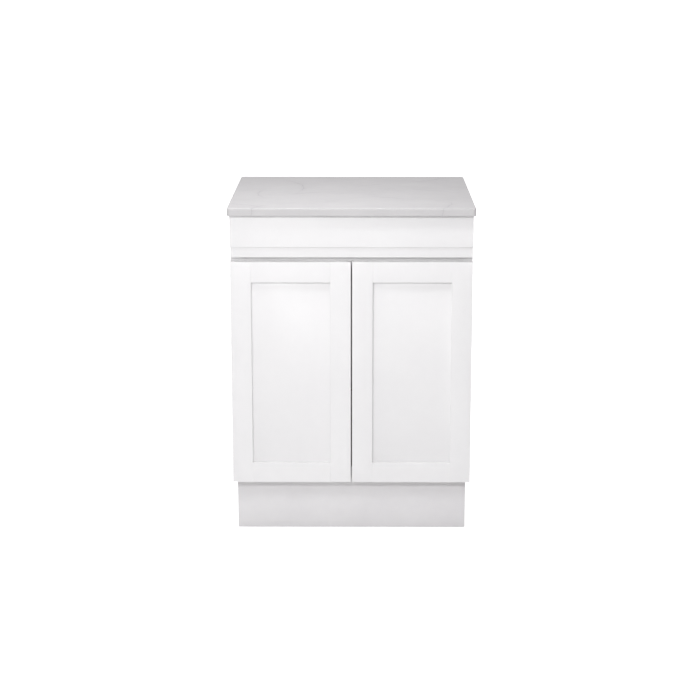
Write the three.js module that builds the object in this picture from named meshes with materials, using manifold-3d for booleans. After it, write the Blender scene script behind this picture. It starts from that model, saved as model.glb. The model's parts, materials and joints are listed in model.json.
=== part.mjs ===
// Two-door bathroom vanity cabinet with a stone slab top, a false drawer front and a recessed toe kick.
// Units are millimetres. X runs to the viewer's right, Y runs from the doors to the wall, and Z is up.
// The origin is on the floor, under the middle of the countertop.
import * as THREE from 'three';
import { mergeVertices } from 'three/addons/utils/BufferGeometryUtils.js';
import Module from 'manifold-3d';

const wasm = await Module();
wasm.setup();

// Clearance between neighbouring pieces.
const GAP = 0.3;

// Countertop slab.
const TOP_WIDTH = 620;
const TOP_DEPTH = 559;
const TOP_THICK = 20;
const TOP_CORNER_RADIUS = 9;
const TOP_EDGE_EASE = 1.5;
const TOTAL_HEIGHT = 864;

// Heights of the cabinet's horizontal lines.
const BOX_TOP = TOTAL_HEIGHT - TOP_THICK;
const TOE_HEIGHT = 148;
const DOOR_BOTTOM = 149;
const DOOR_HEIGHT = 577;
const FINGER_GAP = 11;
const DOOR_TOP = DOOR_BOTTOM + DOOR_HEIGHT;
const FALSE_FRONT_BOTTOM = DOOR_TOP + FINGER_GAP;
const FALSE_FRONT_REVEAL = 1;
const FALSE_FRONT_STEP_HEIGHT = 26;

// Y positions, counted from the front edge of the slab towards the wall.
const FRONT = -TOP_DEPTH / 2;
const WALL = TOP_DEPTH / 2;
const DOOR_FACE = FRONT + 13;
const DOOR_THICK = 20;
const DOOR_STANDOFF = 3.5;
const FRAME_FACE = DOOR_FACE + DOOR_THICK + DOOR_STANDOFF;
const FRAME_THICK = 19;
const FRAME_BACK = FRAME_FACE + FRAME_THICK;
const TOE_FACE = DOOR_FACE + 75;

// Box made of panels.
const FACE_WIDTH = 610;
const BOX_WIDTH = 597;
const PANEL_THICK = 12.7;
const BOX_INSIDE = BOX_WIDTH - 2 * PANEL_THICK;
const BACK_THICK = 6;
const BACK_FACE = WALL - BACK_THICK;
const HANGING_RAIL_HEIGHT = 89;
const TOE_SKIN_THICK = 3;
const BRACE_LEG = 75;

// Face frame.
const STILE_WIDTH = 32;
const TOP_RAIL_HEIGHT = 38;
const MIDDLE_RAIL_BOTTOM = 714;
const MIDDLE_RAIL_HEIGHT = 38;
const BOTTOM_RAIL_HEIGHT = 35;

// False drawer front and the cleats that clamp it through the frame.
const FALSE_FRONT_THICK = 20;
const FALSE_FRONT_STEP = 3;
const FALSE_FRONT_END_STEP = 1.5;
const CLEAT_WIDTH = 40;
const CLEAT_X = 180;
const CLEAT_LAP = 16;

// Doors. The panel sits in grooves, and the rails' tongues share the grooves of the stiles.
const DOOR_GAP = 3;
const DOOR_WIDTH = (FACE_WIDTH - DOOR_GAP) / 2;
const MEMBER_WIDTH = 52;
const PANEL_RECESS = 9.5;
const DOOR_PANEL_THICK = 6;
const GROOVE_DEPTH = 10;
const PANEL_IN_GROOVE = 9;
const TONGUE_LENGTH = 9.5;
const BACK_ARRIS = 1.5;
const BUMPER_RADIUS = 4;
const BUMPER_INSET = 8;

// Hinges. HINGE_PIN_X and HINGE_PIN_Y are measured from the door's outer edge and from its front face.
const HINGE_FROM_END = 90;
const HINGE_PIN_X = 9.5;
const HINGE_PIN_Y = 9.8;
const HINGE_PIN_RADIUS = 1.2;
const HINGE_PIN_LENGTH = 18.4;
const CUP_RADIUS = 17.5;
const CUP_X = 22.5;
const CUP_FLOOR = 6;
const CUP_FLOOR_THICK = 0.8;
const CUP_CHANNEL_LENGTH = 31.8;
const CUP_CHANNEL_WIDTH = 12;
const CUP_EAR_WIDTH = 18;
const CUP_EAR_LENGTH = 52;
const CUP_EAR_THICK = 1;
const ARM_EYE_RADIUS = 2.5;
const ARM_THICK = 2.2;
const ARM_WIDTH = 10;
const BASE_THICK = 2;
const BASE_HEIGHT = 40;
const BASE_SETBACK = 1;
const CUP_SEGMENTS = 48;
const PIN_SEGMENTS = 16;

const WHITE_PAINT = { color: '#f3f2f1', roughness: 0.42, metalness: 0 };
const WHITE_BOARD = { color: '#ebe9e5', roughness: 0.6, metalness: 0 };
const TOE_PAINT = { color: '#e6e4e5', roughness: 0.5, metalness: 0 };
const STONE = { color: '#dddad9', roughness: 0.28, metalness: 0 };
const NICKEL = { color: '#b9b8b4', roughness: 0.3, metalness: 1 };
const SOFT_PLASTIC = { color: '#d9d9d6', roughness: 0.5, metalness: 0 };

function namedMesh(name, geometry, look, position = [0, 0, 0]) {
  const mesh = new THREE.Mesh(geometry, new THREE.MeshStandardMaterial(look));
  mesh.name = name;
  mesh.position.set(...position);
  return mesh;
}

function boxBetween(name, look, low, high) {
  const size = high.map((value, axis) => value - low[axis]);
  const middle = high.map((value, axis) => (value + low[axis]) / 2);
  return namedMesh(name, new THREE.BoxGeometry(...size), look, middle);
}

function polygonShape(points) {
  return new THREE.Shape(points.map(([x, y]) => new THREE.Vector2(x, y)));
}

// A profile drawn in depth and height, pulled along X and centred on it.
function pulledAlongX(points, length) {
  const geometry = new THREE.ExtrudeGeometry(polygonShape(points), { depth: length, bevelEnabled: false });
  geometry.rotateX(Math.PI / 2);
  geometry.rotateZ(Math.PI / 2);
  geometry.translate(-length / 2, 0, 0);
  return geometry;
}

// A profile drawn in plan, pulled along Z and centred on it.
function pulledAlongZ(shape, height) {
  const geometry = new THREE.ExtrudeGeometry(shape, { depth: height, bevelEnabled: false, curveSegments: 12 });
  geometry.translate(0, 0, -height / 2);
  return geometry;
}

function toSolid(geometry) {
  const bare = geometry.clone();
  bare.deleteAttribute('normal');
  bare.deleteAttribute('uv');
  const merged = mergeVertices(bare, 1e-4);
  return new wasm.Manifold(new wasm.Mesh({
    numProp: 3,
    vertProperties: new Float32Array(merged.attributes.position.array),
    triVerts: new Uint32Array(merged.index.array),
  }));
}

function toGeometry(solid) {
  const data = solid.getMesh();
  const indexed = new THREE.BufferGeometry();
  indexed.setAttribute('position', new THREE.BufferAttribute(data.vertProperties, 3));
  indexed.setIndex(new THREE.BufferAttribute(data.triVerts, 1));
  const flat = indexed.toNonIndexed();
  flat.computeVertexNormals();
  return flat;
}

// Round bar between two Y positions.
function barAlongY(radius, from, to, x, segments) {
  const geometry = new THREE.CylinderGeometry(radius, radius, to - from, segments);
  geometry.translate(x, (from + to) / 2, 0);
  return geometry;
}

// Round bar centred on z = 0.
function barAlongZ(radius, length, x, y) {
  const geometry = new THREE.CylinderGeometry(radius, radius, length, PIN_SEGMENTS);
  geometry.rotateX(Math.PI / 2);
  geometry.translate(x, y, 0);
  return geometry;
}

function countertop() {
  const halfWidth = TOP_WIDTH / 2;
  const halfDepth = TOP_DEPTH / 2;
  const r = TOP_CORNER_RADIUS;
  const outline = new THREE.Shape();
  outline.moveTo(-halfWidth + r, -halfDepth);
  outline.lineTo(halfWidth - r, -halfDepth);
  outline.absarc(halfWidth - r, -halfDepth + r, r, -Math.PI / 2, 0, false);
  outline.lineTo(halfWidth, halfDepth - r);
  outline.absarc(halfWidth - r, halfDepth - r, r, 0, Math.PI / 2, false);
  outline.lineTo(-halfWidth + r, halfDepth);
  outline.absarc(-halfWidth + r, halfDepth - r, r, Math.PI / 2, Math.PI, false);
  outline.lineTo(-halfWidth, -halfDepth + r);
  outline.absarc(-halfWidth + r, -halfDepth + r, r, Math.PI, Math.PI * 1.5, false);
  const geometry = new THREE.ExtrudeGeometry(outline, {
    depth: TOP_THICK - GAP - 2 * TOP_EDGE_EASE,
    bevelThickness: TOP_EDGE_EASE,
    bevelSize: TOP_EDGE_EASE,
    bevelOffset: -TOP_EDGE_EASE,
    bevelSegments: 2,
    curveSegments: 6,
  });
  return namedMesh('countertop', geometry, STONE, [0, 0, BOX_TOP + GAP + TOP_EDGE_EASE]);
}

function sidePanel(side, sign) {
  const toeEdge = TOE_FACE + TOE_SKIN_THICK + GAP;
  const profile = [
    [toeEdge, 0],
    [WALL, 0],
    [WALL, BOX_TOP],
    [FRAME_BACK + GAP, BOX_TOP],
    [FRAME_BACK + GAP, TOE_HEIGHT],
    [toeEdge, TOE_HEIGHT],
  ];
  const x = sign * (BOX_WIDTH - PANEL_THICK) / 2;
  return namedMesh(`side_panel_${side}`, pulledAlongX(profile, PANEL_THICK), WHITE_PAINT, [x, 0, 0]);
}

function boxPanels() {
  const half = BOX_INSIDE / 2 - GAP;
  const railFace = BACK_FACE - GAP - PANEL_THICK;
  const floorTop = TOE_HEIGHT + PANEL_THICK;
  return [
    boxBetween('bottom_panel', WHITE_BOARD,
      [-half, FRAME_BACK + GAP, TOE_HEIGHT], [half, BACK_FACE - GAP, floorTop]),
    boxBetween('back_panel', WHITE_BOARD, [-half, BACK_FACE, 0], [half, WALL, BOX_TOP]),
    boxBetween('hanging_rail_top', WHITE_BOARD,
      [-half, railFace, BOX_TOP - HANGING_RAIL_HEIGHT], [half, BACK_FACE - GAP, BOX_TOP]),
    boxBetween('hanging_rail_bottom', WHITE_BOARD,
      [-half, railFace, floorTop + GAP], [half, BACK_FACE - GAP, floorTop + GAP + HANGING_RAIL_HEIGHT]),
  ];
}

function toeKick() {
  const skinBack = TOE_FACE + TOE_SKIN_THICK;
  const top = TOE_HEIGHT - GAP;
  const half = BOX_INSIDE / 2 - GAP;
  return [
    boxBetween('toe_kick_skin', TOE_PAINT, [-BOX_WIDTH / 2, TOE_FACE, 0], [BOX_WIDTH / 2, skinBack, top]),
    boxBetween('toe_kick_board', WHITE_BOARD,
      [-half, skinBack + GAP, 0], [half, skinBack + GAP + PANEL_THICK, top]),
  ];
}

// Triangular brace with its right angle in a corner of the box.
function cornerBrace(name, signX, cornerY, signY) {
  const cornerX = signX * (BOX_INSIDE / 2 - GAP);
  const points = [
    [cornerX, cornerY],
    [cornerX - signX * BRACE_LEG, cornerY],
    [cornerX, cornerY + signY * BRACE_LEG],
  ];
  const geometry = pulledAlongZ(polygonShape(points), PANEL_THICK);
  return namedMesh(name, geometry, WHITE_BOARD, [0, 0, BOX_TOP - PANEL_THICK / 2]);
}

function cornerBraces() {
  const frontY = FRAME_BACK + GAP;
  const rearY = BACK_FACE - GAP - PANEL_THICK - GAP;
  return [
    cornerBrace('corner_brace_front_left', -1, frontY, 1),
    cornerBrace('corner_brace_front_right', 1, frontY, 1),
    cornerBrace('corner_brace_rear_left', -1, rearY, -1),
    cornerBrace('corner_brace_rear_right', 1, rearY, -1),
  ];
}

function faceFrame() {
  const outer = FACE_WIDTH / 2;
  const inner = outer - STILE_WIDTH;
  const railEnd = inner - GAP;
  const rail = (name, bottom, height) => boxBetween(name, WHITE_PAINT,
    [-railEnd, FRAME_FACE, bottom], [railEnd, FRAME_BACK, bottom + height]);
  return [
    boxBetween('frame_stile_left', WHITE_PAINT, [-outer, FRAME_FACE, TOE_HEIGHT], [-inner, FRAME_BACK, BOX_TOP]),
    boxBetween('frame_stile_right', WHITE_PAINT, [inner, FRAME_FACE, TOE_HEIGHT], [outer, FRAME_BACK, BOX_TOP]),
    rail('frame_rail_top', BOX_TOP - TOP_RAIL_HEIGHT, TOP_RAIL_HEIGHT),
    rail('frame_rail_middle', MIDDLE_RAIL_BOTTOM, MIDDLE_RAIL_HEIGHT),
    rail('frame_rail_bottom', TOE_HEIGHT, BOTTOM_RAIL_HEIGHT),
  ];
}

// The lower strip of the false front steps back from its face and in from its ends.
function falseDrawerFront() {
  const back = FRAME_FACE - GAP;
  const face = back - FALSE_FRONT_THICK;
  const stepTop = FALSE_FRONT_BOTTOM + FALSE_FRONT_STEP_HEIGHT;
  const top = BOX_TOP - FALSE_FRONT_REVEAL;
  const upperWidth = FACE_WIDTH;
  const lowerWidth = FACE_WIDTH - 2 * FALSE_FRONT_END_STEP;
  const upper = new THREE.BoxGeometry(upperWidth, FALSE_FRONT_THICK, top - stepTop);
  upper.translate(0, (face + back) / 2, (stepTop + top) / 2);
  const lower = new THREE.BoxGeometry(lowerWidth, FALSE_FRONT_THICK - FALSE_FRONT_STEP, top - FALSE_FRONT_BOTTOM);
  lower.translate(0, (face + FALSE_FRONT_STEP + back) / 2, (FALSE_FRONT_BOTTOM + top) / 2);
  return namedMesh('false_drawer_front', toGeometry(toSolid(upper).add(toSolid(lower))), WHITE_PAINT);
}

// A cleat bridges the drawer opening behind the frame and laps the rails above and below it.
function falseFrontCleat(side, sign) {
  const bottom = MIDDLE_RAIL_BOTTOM + MIDDLE_RAIL_HEIGHT - CLEAT_LAP;
  const top = BOX_TOP - TOP_RAIL_HEIGHT + CLEAT_LAP;
  const x = sign * CLEAT_X;
  return boxBetween(`false_front_cleat_${side}`, WHITE_BOARD,
    [x - CLEAT_WIDTH / 2, FRAME_BACK + GAP, bottom],
    [x + CLEAT_WIDTH / 2, FRAME_BACK + GAP + PANEL_THICK, top]);
}

// Door pieces below are drawn for a door that is hinged on its -X edge, with z = 0 at half its height.
// A stile has its outer edge at x = 0 and its panel groove at x = MEMBER_WIDTH.
function stileGeometry() {
  const grooveFront = PANEL_RECESS - GAP;
  const grooveBack = PANEL_RECESS + DOOR_PANEL_THICK + GAP;
  const grooveFloor = MEMBER_WIDTH - GROOVE_DEPTH;
  const profile = polygonShape([
    [0, 0],
    [MEMBER_WIDTH, 0],
    [MEMBER_WIDTH, grooveFront],
    [grooveFloor, grooveFront],
    [grooveFloor, grooveBack],
    [MEMBER_WIDTH, grooveBack],
    [MEMBER_WIDTH, DOOR_THICK],
    [BACK_ARRIS, DOOR_THICK],
    [0, DOOR_THICK - BACK_ARRIS],
  ]);
  return pulledAlongZ(profile, DOOR_HEIGHT);
}

function hingeStileGeometry(hingeZ) {
  const pocketFloor = CUP_FLOOR - GAP;
  const drill = toSolid(barAlongY(CUP_RADIUS + GAP, pocketFloor, DOOR_THICK + 1, CUP_X, CUP_SEGMENTS));
  let stile = toSolid(stileGeometry());
  for (const z of hingeZ) {
    stile = stile.subtract(drill.translate([0, 0, z]));
  }
  return toGeometry(stile);
}

// A rail lies along X with its outer edge at z = 0 and its panel groove on the upper edge.
function railGeometry() {
  const length = DOOR_WIDTH - 2 * MEMBER_WIDTH - 2 * GAP;
  const grooveFloor = MEMBER_WIDTH - GROOVE_DEPTH;
  const grooveFront = PANEL_RECESS - GAP;
  const grooveBack = PANEL_RECESS + DOOR_PANEL_THICK + GAP;
  const body = pulledAlongX([
    [0, 0],
    [DOOR_THICK, 0],
    [DOOR_THICK, MEMBER_WIDTH],
    [grooveBack, MEMBER_WIDTH],
    [grooveBack, grooveFloor],
    [grooveFront, grooveFloor],
    [grooveFront, MEMBER_WIDTH],
    [0, MEMBER_WIDTH],
  ], length);
  const tongueSpan = length + 2 * GAP + 2 * TONGUE_LENGTH;
  const tongue = new THREE.BoxGeometry(tongueSpan, DOOR_PANEL_THICK, grooveFloor);
  tongue.translate(0, PANEL_RECESS + DOOR_PANEL_THICK / 2, grooveFloor / 2);
  return toGeometry(toSolid(body).add(toSolid(tongue)));
}

function doorPanelGeometry() {
  const hidden = MEMBER_WIDTH - PANEL_IN_GROOVE;
  const geometry = new THREE.BoxGeometry(DOOR_WIDTH - 2 * hidden, DOOR_PANEL_THICK, DOOR_HEIGHT - 2 * hidden);
  geometry.translate(0, PANEL_RECESS + DOOR_PANEL_THICK / 2, 0);
  return geometry;
}

// The cup is let into the back of the stile, and its two ears lie on the stile's back face.
function hingeCupGeometry() {
  const earFront = DOOR_THICK + GAP;
  const earBack = earFront + CUP_EAR_THICK;
  const ears = new THREE.BoxGeometry(CUP_EAR_WIDTH, CUP_EAR_THICK, CUP_EAR_LENGTH);
  ears.translate(CUP_X, (earFront + earBack) / 2, 0);
  const channelFloor = CUP_FLOOR + CUP_FLOOR_THICK;
  const channelDepth = earBack - channelFloor + 1;
  const channel = new THREE.BoxGeometry(CUP_CHANNEL_LENGTH, channelDepth, CUP_CHANNEL_WIDTH);
  channel.translate(CUP_X, channelFloor + channelDepth / 2, 0);
  const pinHole = barAlongZ(HINGE_PIN_RADIUS + GAP, HINGE_PIN_LENGTH + 2 * GAP, HINGE_PIN_X, HINGE_PIN_Y);
  const cup = toSolid(barAlongY(CUP_RADIUS, CUP_FLOOR, earBack, CUP_X, CUP_SEGMENTS))
    .add(toSolid(ears))
    .subtract(toSolid(channel))
    .subtract(toSolid(pinHole));
  return toGeometry(cup);
}

// The arm runs from its eye on the pin, along the cup, then back past the frame stile to the base plate.
function hingeArmGeometry() {
  const inner = STILE_WIDTH + 2 * GAP + BASE_THICK;
  const outer = inner + ARM_THICK;
  const half = ARM_THICK / 2;
  const rear = DOOR_THICK + DOOR_STANDOFF + FRAME_THICK - BASE_SETBACK;
  const eyeAngle = Math.asin(half / ARM_EYE_RADIUS);
  const neckStart = HINGE_PIN_X + ARM_EYE_RADIUS * Math.cos(eyeAngle);
  const outline = new THREE.Shape();
  outline.moveTo(neckStart, HINGE_PIN_Y - half);
  outline.lineTo(outer, HINGE_PIN_Y - half);
  outline.lineTo(outer, rear);
  outline.lineTo(inner, rear);
  outline.lineTo(inner, HINGE_PIN_Y + half);
  outline.lineTo(neckStart, HINGE_PIN_Y + half);
  outline.absarc(HINGE_PIN_X, HINGE_PIN_Y, ARM_EYE_RADIUS, eyeAngle, 2 * Math.PI - eyeAngle, false);
  const eye = new THREE.Path();
  eye.absarc(HINGE_PIN_X, HINGE_PIN_Y, HINGE_PIN_RADIUS + GAP, 0, 2 * Math.PI, true);
  outline.holes.push(eye);
  return pulledAlongZ(outline, ARM_WIDTH);
}

function hingeBaseGeometry() {
  const front = DOOR_THICK + DOOR_STANDOFF + BASE_SETBACK;
  const rear = DOOR_THICK + DOOR_STANDOFF + FRAME_THICK - BASE_SETBACK;
  const geometry = new THREE.BoxGeometry(BASE_THICK, rear - front, BASE_HEIGHT);
  geometry.translate(STILE_WIDTH + GAP + BASE_THICK / 2, (front + rear) / 2, 0);
  return geometry;
}

// One door and the four fixed hinge pieces that carry it. The right-hand set is the left-hand set
// turned half a turn about Y, so its local +Z points down.
function doorSet(side) {
  const isLeft = side === 'left';
  const up = isLeft ? 1 : -1;
  const edge = -DOOR_WIDTH / 2;
  const hingeZ = DOOR_HEIGHT / 2 - HINGE_FROM_END;
  const set = new THREE.Group();
  const door = `door_${side}`;

  set.add(namedMesh(`${door}_hinge_stile`, hingeStileGeometry([hingeZ, -hingeZ]), WHITE_PAINT, [edge, 0, 0]));
  const meetingStile = namedMesh(`${door}_meeting_stile`, stileGeometry(), WHITE_PAINT, [-edge, 0, 0]);
  meetingStile.rotation.y = Math.PI;
  set.add(meetingStile);
  set.add(namedMesh(`${door}_panel`, doorPanelGeometry(), WHITE_PAINT));

  for (const [height, worldSign] of [['upper', 1], ['lower', -1]]) {
    const sign = worldSign * up;
    const railName = height === 'upper' ? `${door}_top_rail` : `${door}_bottom_rail`;
    const rail = namedMesh(railName, railGeometry(), WHITE_PAINT, [0, 0, sign * DOOR_HEIGHT / 2]);
    rail.rotation.y = sign > 0 ? Math.PI : 0;
    set.add(rail);

    const at = [edge, 0, sign * hingeZ];
    const pin = barAlongZ(HINGE_PIN_RADIUS, HINGE_PIN_LENGTH, HINGE_PIN_X, HINGE_PIN_Y);
    set.add(namedMesh(`${door}_hinge_cup_${height}`, hingeCupGeometry(), NICKEL, at));
    set.add(namedMesh(`${door}_hinge_pin_${height}`, pin, NICKEL, at));
    set.add(namedMesh(`hinge_arm_${side}_${height}`, hingeArmGeometry(), NICKEL, at));
    set.add(namedMesh(`hinge_base_${side}_${height}`, hingeBaseGeometry(), NICKEL, at));

    const bumperX = -edge - BUMPER_INSET;
    const bumper = barAlongY(BUMPER_RADIUS, DOOR_THICK + GAP, DOOR_THICK + DOOR_STANDOFF - GAP, bumperX, PIN_SEGMENTS);
    const bumperZ = sign * (DOOR_HEIGHT / 2 - BUMPER_INSET);
    set.add(namedMesh(`${door}_bumper_${height}`, bumper, SOFT_PLASTIC, [0, 0, bumperZ]));
  }

  const centreX = (DOOR_WIDTH + DOOR_GAP) / 2;
  set.position.set(isLeft ? -centreX : centreX, DOOR_FACE, DOOR_BOTTOM + DOOR_HEIGHT / 2);
  set.rotation.y = isLeft ? 0 : Math.PI;
  return set;
}

const vanity = new THREE.Group();
vanity.add(countertop());
vanity.add(sidePanel('left', -1));
vanity.add(sidePanel('right', 1));
vanity.add(...boxPanels());
vanity.add(...toeKick());
vanity.add(...cornerBraces());
vanity.add(...faceFrame());
vanity.add(falseDrawerFront());
vanity.add(falseFrontCleat('left', -1));
vanity.add(falseFrontCleat('right', 1));
vanity.add(doorSet('left'));
vanity.add(doorSet('right'));

export default vanity;
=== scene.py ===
"""Bathroom vanity cabinet: white lacquered doors and face frame, veined stone slab, cup hinges."""
import json
import math
import random

import bmesh
import bpy
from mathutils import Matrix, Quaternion, Vector


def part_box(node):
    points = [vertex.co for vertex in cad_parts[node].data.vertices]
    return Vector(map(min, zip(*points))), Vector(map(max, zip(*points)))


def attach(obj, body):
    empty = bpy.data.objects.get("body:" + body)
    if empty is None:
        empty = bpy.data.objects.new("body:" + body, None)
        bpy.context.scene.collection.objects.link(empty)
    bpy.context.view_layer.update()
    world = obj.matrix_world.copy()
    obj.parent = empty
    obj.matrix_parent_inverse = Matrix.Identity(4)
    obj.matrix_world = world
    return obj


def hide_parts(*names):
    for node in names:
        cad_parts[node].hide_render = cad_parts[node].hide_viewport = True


MM = 0.001
SEED = 7

# Edges sharper than SHARP are rounded, and a screw's edges sharper than SPLIT are shaded apart.
# CRISP is the share of the rounding where painted pieces meet.
SHARP = math.radians(30)
CRISP = 0.06
SPLIT = math.radians(35)

# Points within SAME_PLACE lie on one face, and points within MERGE are one point. A cut passes through
# points within CUT_SLACK of it. Faces whose directions differ by less than FLAT are one face. A face
# points along an axis if the share of its direction along it is over MOSTLY.
SAME_PLACE = 0.1 * MM
MERGE = 0.01 * MM
CUT_SLACK = 0.001 * MM
FLAT = math.radians(0.5)
MOSTLY = 0.7

# Paint closes the 0.3 mm joints of a door to this extent. A rail's tongue goes this far into its stile.
JOINT_CLOSING = 0.28 * MM
DOOR_TONGUE = 9.5 * MM

# The back panel's outer face is set in by this much, to keep the heads of its brads inside the box.
BACK_SET_IN = 0.6 * MM

# The slab's rounding, in plan and along its edges.
SLAB_CORNER = 9 * MM
SLAB_EASE = 1.8 * MM

# Screw heads and brads, as radius and height.
CUP_SCREW = (3.4 * MM, 0.9 * MM)
BASE_SCREW = (3.4 * MM, 1.1 * MM)
ARM_SCREW = (2.9 * MM, 1.0 * MM)
WOOD_SCREW = (4 * MM, 1.6 * MM)
BRAD = (1.6 * MM, 0.45 * MM)

# Where screws sit: distance from the middle of a cup or base, or from the rear end of an arm.
CUP_SCREW_OFFSET = 21.5 * MM
BASE_SCREW_OFFSET = 13 * MM
ARM_SCREWS = (("rear", 5.5 * MM), ("front", 14.0 * MM))
CLEAT_SCREW_INSET = 26 * MM
BRACE_SCREW_SHARE = 0.30
BRAD_ROWS = 9
BRAD_END_INSET = 30 * MM
BRAD_SIDE_INSET = 6 * MM

# Domes of bumpers and screw heads: share of the radius, at a share of the height.
BUMPER_PROFILE = ((1.0, 0.0), (1.0, 0.3), (0.96, 0.5), (0.84, 0.72), (0.62, 0.89), (0.32, 0.98))
BUMPER_SIDES = 28
SCREW_PROFILE = ((1.0, 0.0), (1.0, 0.45), (0.96, 0.7), (0.86, 0.9), (0.72, 1.0))
SCREW_SIDES = 24

# A screw's cross recess: reach and half width as shares of the radius, then its floor's share of the
# cross and of the head's height. A cross is turned by up to CROSS_TURN, in radians.
CROSS_REACH = 0.55
CROSS_HALF_WIDTH = 0.13
CROSS_FLOOR = 0.8
CROSS_LEVEL = 0.35
CROSS_TURN = 1.5

# Thickness of one light and one dark plywood layer together.
PLY_PAIR = 3.2 * MM

# Stone colours, and how far its marks wander, as a share of the way to a random place.
STONE_LIGHT = (0.55, 0.543, 0.547)
STONE_CLOUD = (0.515, 0.507, 0.513)
STONE_HALO = (0.42, 0.41, 0.425)
STONE_VEIN = (0.25, 0.24, 0.27)
STONE_WANDER = 0.045

# Strength of the veins and of the halos round them. A halo is this many times as wide as its vein.
VEIN_STRENGTH = 0.4
HALO_STRENGTH = 0.35
HALO_WIDTH = 9

# Each vein, in metres and degrees: middle x and y on the slab, direction, length, bow, and half width.
# It leaves its straight course by its bow times the square of the distance from its middle.
STONE_VEINS = (
    (-0.135, 0.10, 100, 0.26, 2.2, 0.0016),
    (-0.115, -0.02, 205, 0.12, 1.5, 0.0012),
    (-0.245, -0.03, 95, 0.14, -3.0, 0.0014),
    (-0.02, -0.03, 8, 0.10, 2.0, 0.0011),
    (0.055, 0.12, 30, 0.12, -1.5, 0.0012),
    (0.09, -0.10, 160, 0.13, 1.0, 0.0010),
    (-0.265, -0.225, 140, 0.16, 1.5, 0.0015),
    (-0.235, -0.26, 60, 0.09, 0.0, 0.0012),
    (0.245, -0.235, 75, 0.13, 1.2, 0.0013),
    (0.20, 0.02, 150, 0.14, -1.8, 0.0010),
    (0.22, 0.22, 40, 0.16, 1.6, 0.0012),
    (-0.04, 0.235, 170, 0.18, 1.0, 0.0011),
)

# Light: sky strength and tint, floor glow for the camera, lamp powers, and the far lights' strengths
# and their width as an angle.
SKY_LEVEL = 0.36
SKY_TINT = (1.0, 0.975, 1.0)
FLOOR_GLOW = 0.85
FRONT_POWER = 6.5
NEAR_POWER = 5.8
STRIP_POWER = 4.3
OVERHEAD_POWER = 9.0
SIDE_POWER = 22.0
REAR_POWER = 22.0
KEY_POWER = 0.25
LOW_KEY_POWER = 0.76
FAR_LIGHT_WIDTH = math.radians(3)

# Floor disc, just under the object.
FLOOR_RADIUS = 40.0
FLOOR_DROP = 0.5 * MM

# Camera: sensor width and focal length in millimetres, place in metres, downward pitch and turn to the
# left in degrees, shift in picture widths, and how far it sees in metres.
CAMERA_SENSOR = 36.0
CAMERA_LENS = 88.097
CAMERA_PLACE = (0.017, -4.4795, 1.544)
CAMERA_PITCH = 12.75
CAMERA_YAW = 0.28
CAMERA_SHIFT = -0.05
CAMERA_REACH = 200.0

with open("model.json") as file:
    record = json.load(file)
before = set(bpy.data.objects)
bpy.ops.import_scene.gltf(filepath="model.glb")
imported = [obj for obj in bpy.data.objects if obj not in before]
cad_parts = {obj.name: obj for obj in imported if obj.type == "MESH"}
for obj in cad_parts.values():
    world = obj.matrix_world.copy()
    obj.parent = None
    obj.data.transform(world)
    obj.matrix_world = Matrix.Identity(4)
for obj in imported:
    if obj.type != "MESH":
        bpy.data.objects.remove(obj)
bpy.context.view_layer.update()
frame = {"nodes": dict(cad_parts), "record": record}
record = frame["record"]
bodies = record["behaviour"]["bodies"]
node_body = {node: body for body, members in bodies.items() for node in members}


# ---------------------------------------------------------------- node helpers


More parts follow.
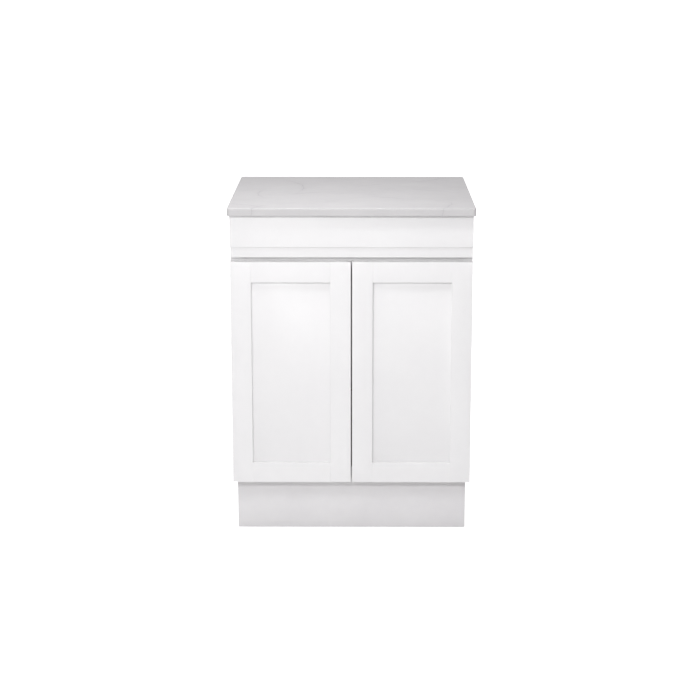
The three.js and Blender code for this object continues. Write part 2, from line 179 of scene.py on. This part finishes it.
class Nodes:
    """Short calls for building one material's node tree."""

    def __init__(self, name):
        self.material = bpy.data.materials.new(name)
        self.material.use_nodes = True
        self.tree = self.material.node_tree
        self.shader = self.tree.nodes["Principled BSDF"]
        self.coords = self.add("ShaderNodeTexCoord")

    def add(self, kind, **values):
        node = self.tree.nodes.new(kind)
        for key, value in values.items():
            setattr(node, key, value)
        return node

    def link(self, source, target):
        self.tree.links.new(source, target)

    def feed(self, socket, value):
        if isinstance(value, bpy.types.NodeSocket):
            self.link(value, socket)
        else:
            socket.default_value = value

    def math(self, operation, first, second=0.5):
        node = self.add("ShaderNodeMath", operation=operation)
        self.feed(node.inputs[0], first)
        self.feed(node.inputs[1], second)
        return node.outputs[0]

    def split(self, vector):
        node = self.add("ShaderNodeSeparateXYZ")
        self.link(vector, node.inputs[0])
        return node.outputs

    def place(self, scale=(1, 1, 1), offset=(0, 0, 0), turn=(0, 0, 0), source=None):
        node = self.add("ShaderNodeMapping")
        self.link(source or self.coords.outputs["Object"], node.inputs["Vector"])
        node.inputs["Scale"].default_value = scale
        node.inputs["Location"].default_value = offset
        node.inputs["Rotation"].default_value = turn
        return node.outputs[0]

    def noise(self, vector, scale, detail=2.0, rough=0.5, warp=0.0):
        node = self.add("ShaderNodeTexNoise")
        self.link(vector, node.inputs["Vector"])
        node.inputs["Scale"].default_value = scale
        node.inputs["Detail"].default_value = detail
        node.inputs["Roughness"].default_value = rough
        node.inputs["Distortion"].default_value = warp
        return node

    def spread(self, value, low, high, to_low=0.0, to_high=1.0):
        node = self.add("ShaderNodeMapRange")
        self.feed(node.inputs["Value"], value)
        node.inputs["From Min"].default_value = low
        node.inputs["From Max"].default_value = high
        node.inputs["To Min"].default_value = to_low
        node.inputs["To Max"].default_value = to_high
        return node.outputs["Result"]

    def mix(self, factor, first, second):
        node = self.add("ShaderNodeMix", data_type="RGBA")
        self.feed(node.inputs["Factor"], factor)
        self.feed(node.inputs["A"], colour4(first))
        self.feed(node.inputs["B"], colour4(second))
        return node.outputs["Result"]

    def bump(self, height, distance, strength=1.0, below=None):
        node = self.add("ShaderNodeBump")
        self.link(height, node.inputs["Height"])
        node.inputs["Distance"].default_value = distance
        node.inputs["Strength"].default_value = strength
        if below is not None:
            self.link(below, node.inputs["Normal"])
        return node.outputs["Normal"]

    def finish(self, colour=None, rough=None, normal=None, **fixed):
        if colour is not None:
            self.feed(self.shader.inputs["Base Color"], colour4(colour))
        if rough is not None:
            self.feed(self.shader.inputs["Roughness"], rough)
        if normal is not None:
            self.link(normal, self.shader.inputs["Normal"])
        for key, value in fixed.items():
            self.shader.inputs[key.replace("_", " ")].default_value = value
        return self.material


def colour4(value):
    return (*value, 1.0) if isinstance(value, tuple) and len(value) == 3 else value


# ---------------------------------------------------------------- materials


def lacquer(name, base, shade, rough=0.34):
    """Sprayed satin lacquer: fine orange peel, a slow waviness, and a faint change of tone."""
    n = Nodes(name)
    place = n.place()
    tone = n.noise(place, 5.0, 3.0).outputs["Fac"]
    mottle = n.noise(place, 42.0, 2.0).outputs["Fac"]
    mixed = n.math("ADD", n.math("MULTIPLY", tone, 0.7), n.math("MULTIPLY", mottle, 0.3))
    colour = n.mix(n.spread(mixed, 0.35, 0.65), base, shade)
    dull = n.noise(place, 24.0, 4.0, 0.6).outputs["Fac"]
    roughness = n.spread(dull, 0.3, 0.7, rough - 0.05, rough + 0.08)
    peel = n.noise(place, 620.0, 2.0).outputs["Fac"]
    wave = n.noise(place, 60.0, 1.0).outputs["Fac"]
    normal = n.bump(wave, 0.00022, 0.35)
    normal = n.bump(peel, 0.00003, 0.5, below=normal)
    return n.finish(colour, roughness, normal, Coat_Weight=0.12, Coat_Roughness=0.18)


def ply_edge(n, across):
    """Plywood layers seen on a board's edge. across is the coordinate through the board's thickness."""
    layer = n.math("FRACT", n.math("MULTIPLY", across, 1 / PLY_PAIR))
    band = n.spread(layer, 0.42, 0.58)
    fibre = n.noise(n.place((60, 60, 60)), 6.0, 4.0, 0.6).outputs["Fac"]
    light = n.mix(fibre, (0.74, 0.6, 0.42), (0.66, 0.52, 0.35))
    dark = n.mix(fibre, (0.52, 0.38, 0.24), (0.44, 0.31, 0.19))
    return n.mix(band, light, dark)


def board(name, axis, back_bare=False):
    """White faced plywood board. Its edges show the layers, and a bare back shows birch grain."""
    n = Nodes(name)
    place = n.place()
    across = n.split(n.coords.outputs["Object"])
    facing = n.split(n.coords.outputs["Normal"])
    tone = n.noise(place, 7.0, 3.0).outputs["Fac"]
    face = n.mix(n.spread(tone, 0.3, 0.7), (0.83, 0.82, 0.79), (0.79, 0.775, 0.74))
    if back_bare:
        rings = n.noise(n.place((9.0, 9.0, 0.9)), 2.6, 3.0, 0.55, 1.2).outputs["Fac"]
        fine = n.noise(n.place((260.0, 260.0, 6.0)), 1.0, 3.0, 0.6).outputs["Fac"]
        stripes = n.math("FRACT", n.math("MULTIPLY", rings, 9.0))
        grain = n.math("ADD", n.math("MULTIPLY", stripes, 0.55), n.math("MULTIPLY", fine, 0.45))
        birch = n.mix(grain, (0.78, 0.64, 0.45), (0.68, 0.53, 0.35))
        behind = n.math("GREATER_THAN", facing[axis], MOSTLY)
        face = n.mix(behind, face, birch)
    is_face = n.math("GREATER_THAN", n.math("ABSOLUTE", facing[axis]), MOSTLY)
    colour = n.mix(is_face, ply_edge(n, across[axis]), face)
    pebble = n.noise(place, 900.0, 2.0).outputs["Fac"]
    roughness = n.spread(n.noise(place, 30.0, 3.0).outputs["Fac"], 0.3, 0.7, 0.45, 0.6)
    return n.finish(colour, roughness, n.bump(pebble, 0.00004, 0.5))


def side_paint():
    """Painted side panel: lacquer on both faces, and plywood layers on the raw edges."""
    n = Nodes("side_panel_paint")
    place = n.place()
    across = n.split(n.coords.outputs["Object"])
    facing = n.split(n.coords.outputs["Normal"])
    tone = n.noise(place, 5.0, 3.0).outputs["Fac"]
    grain = n.noise(n.place((160.0, 160.0, 5.0)), 1.0, 3.0, 0.6).outputs["Fac"]
    paint = n.mix(n.spread(tone, 0.3, 0.7), (0.81, 0.806, 0.808), (0.785, 0.78, 0.784))
    is_face = n.math("GREATER_THAN", n.math("ABSOLUTE", facing["X"]), MOSTLY)
    colour = n.mix(is_face, ply_edge(n, across["X"]), paint)
    roughness = n.spread(n.noise(place, 24.0, 4.0).outputs["Fac"], 0.3, 0.7, 0.34, 0.46)
    normal = n.bump(grain, 0.00008, 0.4)
    normal = n.bump(n.noise(place, 620.0, 2.0).outputs["Fac"], 0.00003, 0.5, below=normal)
    return n.finish(colour, roughness, normal)


def stone():
    """Pale grey engineered marble: slow clouding, fine speckle, and sparse thin curved veins."""
    n = Nodes("veined_stone")
    place = n.place()
    wander = n.noise(place, 9.0, 4.0, 0.6)
    bend = n.add("ShaderNodeMix", data_type="VECTOR")
    bend.inputs["Factor"].default_value = STONE_WANDER
    n.link(n.coords.outputs["Object"], bend.inputs["A"])
    n.link(wander.outputs["Color"], bend.inputs["B"])
    bent = bend.outputs["Result"]
    broken = n.spread(n.noise(place, 38.0, 3.0, 0.6).outputs["Fac"], 0.34, 0.56, 0.45, 1.0)

    def vein(x, y, angle, length, bow, width):
        """A thin mark that fades towards its ends, and a wide soft halo, along one bowed line."""
        turned = n.place(offset=local_offset(x, y, angle), turn=(0, 0, math.radians(-angle)), source=bent)
        split = n.split(turned)
        along, across = split["X"], split["Y"]
        bowed = n.math("SUBTRACT", across, n.math("MULTIPLY", n.math("MULTIPLY", along, along), bow))
        away = n.math("ABSOLUTE", bowed)
        ends = n.spread(n.math("ABSOLUTE", along), length * 0.25, length * 0.5, 1.0, 0.0)
        line = n.math("MULTIPLY", n.spread(away, 0.0, width, 1.0, 0.0), ends)
        glow = n.math("MULTIPLY", n.spread(away, 0.0, width * HALO_WIDTH, 1.0, 0.0), ends)
        return line, n.math("MULTIPLY", glow, glow)

    lines, glows = zip(*(vein(*values) for values in STONE_VEINS))
    line, glow = lines[0], glows[0]
    for other_line, other_glow in zip(lines[1:], glows[1:]):
        line = n.math("MAXIMUM", line, other_line)
        glow = n.math("MAXIMUM", glow, other_glow)
    cloud = n.noise(n.place(offset=(1.0, 5.0, 2.0), source=bent), 8.0, 5.0, 0.6).outputs["Fac"]
    speck = n.noise(place, 900.0, 1.0).outputs["Fac"]
    colour = n.mix(n.spread(cloud, 0.35, 0.7), STONE_LIGHT, STONE_CLOUD)
    colour = n.mix(n.math("MULTIPLY", glow, HALO_STRENGTH), colour, STONE_HALO)
    marks = n.math("MULTIPLY", n.math("MULTIPLY", line, broken), VEIN_STRENGTH)
    colour = n.mix(marks, colour, STONE_VEIN)
    colour = n.mix(n.spread(speck, 0.62, 0.8, 0.0, 0.1), colour, STONE_VEIN)
    roughness = n.spread(cloud, 0.3, 0.7, 0.29, 0.38)
    polish = n.noise(place, 45.0, 2.0).outputs["Fac"]
    return n.finish(colour, roughness, n.bump(polish, 0.00004, 0.2), Specular_IOR_Level=0.3)


def local_offset(x, y, angle):
    """Mapping offset that brings the point (x, y) to the origin once the axes are turned by angle."""
    turn = math.radians(angle)
    wander = 0.5 * STONE_WANDER
    x = x * (1 - STONE_WANDER) + wander
    y = y * (1 - STONE_WANDER) + wander
    return (-(x * math.cos(turn) + y * math.sin(turn)), x * math.sin(turn) - y * math.cos(turn), 0.0)


def nickel(name, along, base=(0.62, 0.61, 0.58)):
    """Plated steel with fine drawn lines along one axis."""
    n = Nodes(name)
    scale = tuple(25.0 if axis == along else 1400.0 for axis in "XYZ")
    lines = n.noise(n.place(scale), 1.0, 2.0, 0.5).outputs["Fac"]
    blotch = n.noise(n.place(), 160.0, 3.0).outputs["Fac"]
    colour = n.mix(blotch, base, tuple(v * 0.86 for v in base))
    roughness = n.spread(lines, 0.3, 0.7, 0.28, 0.34)
    return n.finish(colour, roughness, n.bump(lines, 0.000012, 0.25), Metallic=1.0)


def soft_plastic():
    n = Nodes("soft_bumper")
    cloud = n.noise(n.place(), 380.0, 2.0).outputs["Fac"]
    colour = n.mix(cloud, (0.78, 0.78, 0.76), (0.7, 0.7, 0.68))
    roughness = n.spread(cloud, 0.3, 0.7, 0.28, 0.42)
    return n.finish(colour, roughness, n.bump(cloud, 0.00004, 0.3), Subsurface_Weight=0.25)


def pale_floor():
    """Matt pale floor. It glows a little for the camera only, so that it reads as white paper."""
    n = Nodes("pale_floor")
    grain = n.noise(n.place(), 60.0, 3.0).outputs["Fac"]
    colour = n.mix(grain, (0.74, 0.74, 0.74), (0.72, 0.72, 0.72))
    roughness = n.spread(grain, 0.0, 1.0, 0.6, 0.75)
    seen = n.add("ShaderNodeLightPath").outputs["Is Camera Ray"]
    n.link(n.math("MULTIPLY", seen, FLOOR_GLOW), n.shader.inputs["Emission Strength"])
    return n.finish(colour, roughness, n.bump(grain, 0.0001, 0.1), Emission_Color=(1, 1, 1, 1))


WHITE = lacquer("white_lacquer", (0.81, 0.806, 0.808), (0.79, 0.786, 0.79))
# The toe kick's lacquer is a little darker and more violet than the doors' white: painted shade for the
# shade under the doors.
TOE_SHADED_WHITE = lacquer("toe_kick_shaded_lacquer", (0.79, 0.782, 0.788), (0.755, 0.745, 0.755), rough=0.42)
BOARD = {axis: board(f"white_board_{axis.lower()}", axis) for axis in "XYZ"}
BACK_BOARD = board("back_board", "Y", back_bare=True)
SIDE_PAINT = side_paint()
STONE = stone()
NICKEL = nickel("nickel_arm", "Y")
NICKEL_CUP = nickel("nickel_cup", "Z", base=(0.66, 0.65, 0.62))
SCREW = nickel("screw_steel", "Z", base=(0.55, 0.54, 0.53))
BUMPER = soft_plastic()


# ---------------------------------------------------------------- mesh helpers


def new_object(name, bm, material, smooth=True):
    bmesh.ops.recalc_face_normals(bm, faces=bm.faces)
    for face in bm.faces:
        face.smooth = smooth
    mesh = bpy.data.meshes.new(name)
    bm.to_mesh(mesh)
    bm.free()
    mesh.materials.append(material)
    obj = bpy.data.objects.new(name, mesh)
    bpy.context.scene.collection.objects.link(obj)
    return obj


def stand_in(obj, node):
    """Puts an object in the place of a CAD node, on the node's body."""
    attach(obj, node_body[node])
    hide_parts(node)


def around(sides):
    """Angles of evenly spaced points round a circle."""
    return [2 * math.pi * i / sides for i in range(sides)]


def pairs(ring):
    """Each corner point of a ring with the next, and the last with the first."""
    return list(zip(ring, ring[1:] + ring[:1]))


def join_rings(bm, rings):
    """Joins each ring of corner points to the next with a strip of four-sided faces."""
    for low, high in zip(rings, rings[1:]):
        for (first, second), (fourth, third) in zip(pairs(low), pairs(high)):
            bm.faces.new((first, second, third, fourth))


def soften(node, material, width, segments=3, weigh=None, reshape=None):
    """Stands in for a CAD node with its edges rounded by width, or by weigh(edge) times width."""
    bm = bmesh.new()
    bm.from_mesh(frame["nodes"][node].data)
    bmesh.ops.remove_doubles(bm, verts=bm.verts, dist=MERGE)
    bmesh.ops.dissolve_limit(bm, angle_limit=FLAT, verts=bm.verts, edges=bm.edges)
    if reshape:
        reshape(bm)
    layer = bm.edges.layers.float.new("bevel_weight_edge")
    for edge in bm.edges:
        if len(edge.link_faces) == 2 and edge.calc_face_angle() > SHARP:
            edge[layer] = weigh(edge) if weigh else 1.0
    obj = new_object("v_" + node, bm, material)
    bevel = obj.modifiers.new("rounded_edges", "BEVEL")
    bevel.limit_method = "WEIGHT"
    bevel.width = width
    bevel.segments = segments
    bevel.harden_normals = True
    stand_in(obj, node)


def crisp_ends(edge):
    """Leaves the end edges of a rail almost sharp where it meets its stiles."""
    meets = any(abs(face.normal.x) > MOSTLY for face in edge.link_faces)
    return CRISP if meets else 1.0


def rounded_outline(lo, hi, radius, inset, steps):
    """Corner points of a rounded rectangle in plan, drawn inset from its edge."""
    points = []
    r = radius - inset
    corners = [(hi[0], lo[1], -90), (hi[0], hi[1], 0), (lo[0], hi[1], 90), (lo[0], lo[1], 180)]
    for x, y, start in corners:
        cx = x - math.copysign(radius, x)
        cy = y - math.copysign(radius, y)
        for i in range(steps + 1):
            angle = math.radians(start + 90 * i / steps)
            points.append((cx + r * math.cos(angle), cy + r * math.sin(angle)))
    return points


def countertop():
    """The slab, with corners rounded in plan and softly rounded edges."""
    lo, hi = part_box("countertop")
    edge_steps, corner_steps = 5, 10
    levels = []
    for i in range(edge_steps + 1):
        angle = math.radians(90 * i / edge_steps)
        levels.append((SLAB_EASE * (1 - math.sin(angle)), lo[2] + SLAB_EASE * (1 - math.cos(angle))))
    for i in range(edge_steps + 1):
        angle = math.radians(90 - 90 * i / edge_steps)
        levels.append((SLAB_EASE * (1 - math.sin(angle)), hi[2] - SLAB_EASE * (1 - math.cos(angle))))
    bm = bmesh.new()
    rings = []
    for inset, z in levels:
        outline = rounded_outline(lo, hi, SLAB_CORNER, inset, corner_steps)
        rings.append([bm.verts.new((x, y, z)) for x, y in outline])
    join_rings(bm, rings)
    bm.faces.new(reversed(rings[0]))
    bm.faces.new(rings[-1])
    obj = new_object("v_countertop", bm, STONE)
    obj.modifiers.new("even_shading", "WEIGHTED_NORMAL").keep_sharp = True
    stand_in(obj, "countertop")


def screw(name, body, centre, facing, size, turn):
    """Domed screw head with a cross recess, standing on a face at centre. size is radius and height."""
    radius, height = size
    bm = bmesh.new()
    rings = []
    for share, level in SCREW_PROFILE:
        r, z = radius * share, height * level
        rings.append([bm.verts.new((r * math.cos(a), r * math.sin(a), z)) for a in around(SCREW_SIDES)])
    join_rings(bm, rings)
    long, short = radius * CROSS_REACH, radius * CROSS_HALF_WIDTH
    quarter = [(long, -short), (long, short), (short, short)]
    cross = []
    for k in range(4):
        cos, sin = round(math.cos(k * math.pi / 2)), round(math.sin(k * math.pi / 2))
        cross += [(cos * x - sin * y, sin * x + cos * y) for x, y in quarter]
    rim = [bm.verts.new((x, y, height)) for x, y in cross]
    pit = [bm.verts.new((x * CROSS_FLOOR, y * CROSS_FLOOR, height * CROSS_LEVEL)) for x, y in cross]
    edges = [bm.edges.new(pair) for pair in pairs(rim)]
    edges += [bm.edges.get(pair) for pair in pairs(rings[-1])]
    bmesh.ops.triangle_fill(bm, edges=edges, use_beauty=True, normal=(0, 0, 1))
    join_rings(bm, [rim, pit])
    bm.faces.new(pit)
    bm.faces.new(reversed(rings[0]))
    spin = Quaternion((0, 0, 1), turn)
    aim = Vector((0, 0, 1)).rotation_difference(Vector(facing))
    for vert in bm.verts:
        vert.co = Vector(centre) + aim @ (spin @ vert.co)
    obj = new_object(name, bm, SCREW)
    obj.modifiers.new("crisp_edges", "EDGE_SPLIT").split_angle = SPLIT
    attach(obj, body)
    return obj


# ---------------------------------------------------------------- the cabinet


def painted_parts():
    for side in ("left", "right"):
        soften(f"side_panel_{side}", SIDE_PAINT, 0.6 * MM)
        soften(f"frame_stile_{side}", WHITE, 0.8 * MM)
    for level in ("top", "middle", "bottom"):
        soften(f"frame_rail_{level}", WHITE, 0.8 * MM, weigh=crisp_ends)
    soften("false_drawer_front", WHITE, 1.2 * MM, segments=4)
    # The toe kick skin takes the darker lacquer, with its painted shade for the shade under the doors.
    soften("toe_kick_skin", TOE_SHADED_WHITE, 0.6 * MM)


def boards():
    soften("bottom_panel", BOARD["Z"], 0.3 * MM, segments=2)
    soften("toe_kick_board", BOARD["Y"], 0.3 * MM, segments=2)
    for level in ("top", "bottom"):
        soften(f"hanging_rail_{level}", BOARD["Y"], 0.4 * MM, segments=2)
    for side in ("left", "right"):
        soften(f"false_front_cleat_{side}", BOARD["Y"], 0.5 * MM, segments=2)
        for end in ("front", "rear"):
            soften(f"corner_brace_{end}_{side}", BOARD["Z"], 0.5 * MM, segments=2)
    soften("back_panel", BACK_BOARD, 0.2 * MM, segments=1, reshape=back_set_in)


def back_set_in(bm):
    """Sets the outer face of the back panel in, which leaves room for the heads of its brads."""
    back = max(v.co.y for v in bm.verts)
    for vert in bm.verts:
        if vert.co.y > back - SAME_PLACE:
            vert.co.y -= BACK_SET_IN


def doors():
    for side in ("left", "right"):
        door = f"door_{side}"
        opening = (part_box(f"{door}_bottom_rail")[1].z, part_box(f"{door}_top_rail")[0].z)
        for stile in ("hinge_stile", "meeting_stile"):
            weigh, reshape = stile_joints(f"{door}_{stile}", f"{door}_panel", opening)
            soften(f"{door}_{stile}", WHITE, 1.0 * MM, segments=4, weigh=weigh, reshape=reshape)
        for end in ("top", "bottom"):
            soften(f"{door}_{end}_rail", WHITE, 1.0 * MM, segments=4, weigh=crisp_ends,
                   reshape=close_rail)
        soften(f"{door}_panel", WHITE, 0.4 * MM, segments=2, reshape=panel_forward)


def stile_joints(stile, panel, opening):
    """Rounds a stile's inner edge only beside the panel opening, so that the rails meet it closely."""
    lo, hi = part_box(stile)
    inner = hi.x if lo.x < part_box(panel)[0].x else lo.x

    def cut(bm):
        for z in opening:
            geometry = bm.verts[:] + bm.edges[:] + bm.faces[:]
            bmesh.ops.bisect_plane(bm, geom=geometry, dist=CUT_SLACK, plane_co=(0, 0, z),
                                   plane_no=(0, 0, 1))

    def weigh(edge):
        first, second = (v.co for v in edge.verts)
        at_inner = abs(first.x - inner) < SAME_PLACE and abs(second.x - inner) < SAME_PLACE
        middle = (first.z + second.z) / 2
        beside_opening = opening[0] < middle < opening[1]
        return CRISP if at_inner and not beside_opening else 1.0

    return weigh, cut


def panel_forward(bm):
    """Brings the panel's face up to the front of its groove, where paint closes the joint."""
    front = min(v.co.y for v in bm.verts)
    for vert in bm.verts:
        if vert.co.y < front + SAME_PLACE:
            vert.co.y -= JOINT_CLOSING


def close_rail(bm):
    """Brings a rail's shoulders up to the stiles: the tongues beyond them stay where they are."""
    lo = min(v.co.x for v in bm.verts)
    hi = max(v.co.x for v in bm.verts)
    near, far = DOOR_TONGUE * 0.5, DOOR_TONGUE * 1.5
    for vert in bm.verts:
        if lo + near < vert.co.x < lo + far:
            vert.co.x -= JOINT_CLOSING
        if hi - far < vert.co.x < hi - near:
            vert.co.x += JOINT_CLOSING


def hinges():
    for side, inward in (("left", 1), ("right", -1)):
        door = f"door_{side}"
        for height in ("upper", "lower"):
            soften(f"{door}_hinge_cup_{height}", NICKEL_CUP, 0.3 * MM, segments=2)
            soften(f"{door}_hinge_pin_{height}", SCREW, 0.15 * MM, segments=2)
            soften(f"hinge_arm_{side}_{height}", NICKEL, 0.4 * MM, segments=3)
            soften(f"hinge_base_{side}_{height}", NICKEL, 0.4 * MM, segments=3)
            hinge_screws(side, height, inward)


def hinge_screws(side, height, inward):
    """Two screws each in the cup's flange, the base plate and the arm. inward is 1 or -1 along X."""
    rng = random.Random(f"{SEED}{side}{height}")
    ends = (("bottom", -1), ("top", 1))
    cup_lo, cup_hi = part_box(f"door_{side}_hinge_cup_{height}")
    middle_x = (cup_lo[0] + cup_hi[0]) / 2
    middle_z = (cup_lo[2] + cup_hi[2]) / 2
    for word, end in ends:
        centre = (middle_x, cup_hi[1], middle_z + end * CUP_SCREW_OFFSET)
        name = f"cup_screw_{side}_{height}_{word}"
        screw(name, f"door_{side}", centre, (0, 1, 0), CUP_SCREW, screw_turn(rng))
    base_lo, base_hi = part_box(f"hinge_base_{side}_{height}")
    face_x = base_hi[0] if inward > 0 else base_lo[0]
    middle_y = (base_lo[1] + base_hi[1]) / 2
    for word, end in ends:
        centre = (face_x, middle_y, middle_z + end * BASE_SCREW_OFFSET)
        name = f"base_screw_{side}_{height}_{word}"
        screw(name, "cabinet", centre, (inward, 0, 0), BASE_SCREW, screw_turn(rng))
    arm_lo, arm_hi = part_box(f"hinge_arm_{side}_{height}")
    face_x = arm_hi[0] if inward > 0 else arm_lo[0]
    for word, back in ARM_SCREWS:
        centre = (face_x, arm_hi[1] - back, middle_z)
        name = f"arm_screw_{side}_{height}_{word}"
        screw(name, "cabinet", centre, (inward, 0, 0), ARM_SCREW, screw_turn(rng))


def screw_turn(rng):
    """How far a screw's cross is turned, in radians."""
    return rng.uniform(0, CROSS_TURN)


def bumpers():
    """Domed soft bumpers in the meeting stiles' corners."""
    for side in ("left", "right"):
        for height in ("upper", "lower"):
            bumper(f"door_{side}_bumper_{height}")


def bumper(node):
    lo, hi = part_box(node)
    x, z = (lo[0] + hi[0]) / 2, (lo[2] + hi[2]) / 2
    radius = (hi[0] - lo[0]) / 2
    bm = bmesh.new()
    rings = []
    for share, level in BUMPER_PROFILE:
        r = radius * share
        y = lo[1] + (hi[1] - lo[1]) * level
        points = [(x + r * math.cos(a), y, z + r * math.sin(a)) for a in around(BUMPER_SIDES)]
        rings.append([bm.verts.new(point) for point in points])
    join_rings(bm, rings)
    tip = bm.verts.new((x, hi[1], z))
    for first, second in pairs(rings[-1]):
        bm.faces.new((first, second, tip))
    bm.faces.new(rings[0])
    obj = new_object("v_" + node, bm, BUMPER)
    stand_in(obj, node)


def cabinet_screws():
    """Screws of the cleats and braces, and the brads of the back panel."""
    rng = random.Random(SEED)
    for side in ("left", "right"):
        lo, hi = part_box(f"false_front_cleat_{side}")
        x = (lo[0] + hi[0]) / 2
        for word, z in (("top", hi[2] - CLEAT_SCREW_INSET), ("bottom", lo[2] + CLEAT_SCREW_INSET)):
            name = f"cleat_screw_{side}_{word}"
            screw(name, "cabinet", (x, hi[1], z), (0, 1, 0), WOOD_SCREW, screw_turn(rng))
        for end in ("front", "rear"):
            lo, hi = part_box(f"corner_brace_{end}_{side}")
            inset_x = BRACE_SCREW_SHARE * (hi[0] - lo[0])
            inset_y = BRACE_SCREW_SHARE * (hi[1] - lo[1])
            x = lo[0] + inset_x if side == "left" else hi[0] - inset_x
            y = lo[1] + inset_y if end == "front" else hi[1] - inset_y
            name = f"brace_screw_{end}_{side}"
            screw(name, "cabinet", (x, y, lo[2]), (0, 0, -1), WOOD_SCREW, screw_turn(rng))
    lo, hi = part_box("back_panel")
    face = hi[1] - BACK_SET_IN
    spots = []
    for i in range(BRAD_ROWS):
        z = lo[2] + BRAD_END_INSET + (hi[2] - lo[2] - 2 * BRAD_END_INSET) * i / (BRAD_ROWS - 1)
        spots += [(lo[0] + BRAD_SIDE_INSET, z), (hi[0] - BRAD_SIDE_INSET, z)]
    for k, (x, z) in enumerate(spots):
        brad = screw(f"back_brad_{k:02d}", "cabinet", (x, face, z), (0, 1, 0), BRAD, screw_turn(rng))
        brad.modifiers.clear()


countertop()
painted_parts()
boards()
doors()
hinges()
bumpers()
cabinet_screws()


# ---------------------------------------------------------------- floor, light, camera


def make_floor():
    bm = bmesh.new()
    bmesh.ops.create_circle(bm, cap_ends=True, radius=FLOOR_RADIUS, segments=96)
    for vert in bm.verts:
        vert.co.z = -FLOOR_DROP
    floor = new_object("floor", bm, pale_floor(), smooth=False)


def area_light(name, place, target, size, power, size_y=None, mirrored=True):
    """Soft light at a place, turned to a target. If not mirrored, no gloss shows its reflection."""
    data = bpy.data.lights.new(name, "AREA")
    data.energy = power
    data.size = size
    if size_y:
        data.shape = "RECTANGLE"
        data.size_y = size_y
    obj = bpy.data.objects.new(name, data)
    obj.location = place
    obj.rotation_mode = "QUATERNION"
    obj.rotation_quaternion = (Vector(target) - Vector(place)).to_track_quat("-Z", "Y")
    obj.visible_glossy = mirrored
    bpy.context.scene.collection.objects.link(obj)


def make_sky():
    """Even sky light. The camera sees it as plain white."""
    world = bpy.data.worlds.new("studio")
    world.use_nodes = True
    tree = world.node_tree
    seen = tree.nodes.new("ShaderNodeLightPath").outputs["Is Camera Ray"]
    colour = tree.nodes.new("ShaderNodeMix")
    colour.data_type = "RGBA"
    tree.links.new(seen, colour.inputs["Factor"])
    colour.inputs["A"].default_value = (*(SKY_LEVEL * v for v in SKY_TINT), 1.0)
    colour.inputs["B"].default_value = (1.0, 1.0, 1.0, 1.0)
    tree.links.new(colour.outputs["Result"], tree.nodes["Background"].inputs["Color"])
    bpy.context.scene.world = world


def far_light(name, heading, power, mirrored=True):
    """Light from far away that travels along a heading and casts crisp shadows."""
    data = bpy.data.lights.new(name, "SUN")
    data.energy = power
    data.angle = FAR_LIGHT_WIDTH
    obj = bpy.data.objects.new(name, data)
    obj.rotation_mode = "QUATERNION"
    obj.rotation_quaternion = Vector(heading).to_track_quat("-Z", "Y")
    obj.visible_glossy = mirrored
    bpy.context.scene.collection.objects.link(obj)


def make_lights():
    area_light("front_softbox", (-1.0, -2.8, 0.52), (0, -0.28, 0.42), 1.2, FRONT_POWER, size_y=0.5)
    area_light("near_softbox", (-0.35, -1.5, 1.2), (0, -0.28, 0.6), 0.6, NEAR_POWER, size_y=0.4,
               mirrored=False)
    area_light("strip_over_front", (-0.1, -0.43, 1.5), (0, -0.28, 0.8), 1.0, STRIP_POWER, size_y=0.25,
               mirrored=False)
    area_light("overhead_softbox", (0, 0.1, 2.6), (0, 0, 0.8), 1.4, OVERHEAD_POWER, size_y=1.0)
    for name, x in (("left_softbox", -3.2), ("right_softbox", 3.2)):
        area_light(name, (x, 0.9, 1.2), (0, 0, 0.4), 1.6, SIDE_POWER, mirrored=False)
    area_light("rear_softbox", (0.4, 3.4, 1.2), (0, 0, 0.4), 1.6, REAR_POWER, mirrored=False)
    far_light("crisp_key", (0.03, 0.42, -1.0), KEY_POWER)
    far_light("low_key", (0.06, 1.0, -0.48), LOW_KEY_POWER, mirrored=False)


def make_camera():
    data = bpy.data.cameras.new("photo_camera")
    data.sensor_width = CAMERA_SENSOR
    data.lens = CAMERA_LENS
    data.shift_y = CAMERA_SHIFT
    data.clip_end = CAMERA_REACH
    obj = bpy.data.objects.new("photo_camera", data)
    obj.location = CAMERA_PLACE
    obj.rotation_euler = (math.radians(90 - CAMERA_PITCH), 0.0, math.radians(CAMERA_YAW))
    bpy.context.scene.collection.objects.link(obj)
    bpy.context.scene.camera = obj


make_floor()
make_sky()
make_lights()
make_camera()
bpy.context.scene.view_settings.view_transform = "Standard"
